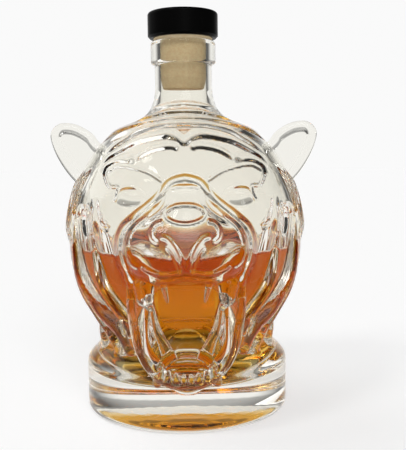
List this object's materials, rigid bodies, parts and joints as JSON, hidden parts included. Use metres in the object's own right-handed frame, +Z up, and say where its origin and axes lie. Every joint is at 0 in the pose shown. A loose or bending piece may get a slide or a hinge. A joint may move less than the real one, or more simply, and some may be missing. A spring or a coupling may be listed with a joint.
{
  "type": "figural liquor decanter",
  "caption": "Clear glass liquor decanter moulded as a roaring big cat's head with raised ears, on a thick round base, part filled with amber spirit and closed by a black-topped stopper.",
  "frame": {"origin": "centre of the underside, on the surface that the decanter stands on", "axes": "+Z up along the neck, -Y the way the face looks, +X to the right as the face is seen from the front"},
  "size_m": [0.1374, 0.1298, 0.2],
  "materials": {
    "clear_glass": "clear, polished, with soft moulded edges",
    "amber_liquor": "clear amber liquid",
    "black_cap": "satin gloss, moulded",
    "pale_plug": "matt moulded cork-coloured polymer"
  },
  "bodies": {
    "decanter": {"glass_bottle": "clear_glass", "left_ear": "clear_glass", "right_ear": "clear_glass", "liquor": "amber_liquor"},
    "stopper": {"stopper_cap": "black_cap", "stopper_plug": "pale_plug"}
  },
  "joints": [
    {"name": "stopper_lift", "type": "slide", "parent": "decanter", "child": "stopper", "axis": [0, 0, 1], "range_m": [0, 0.045]}
  ]
}
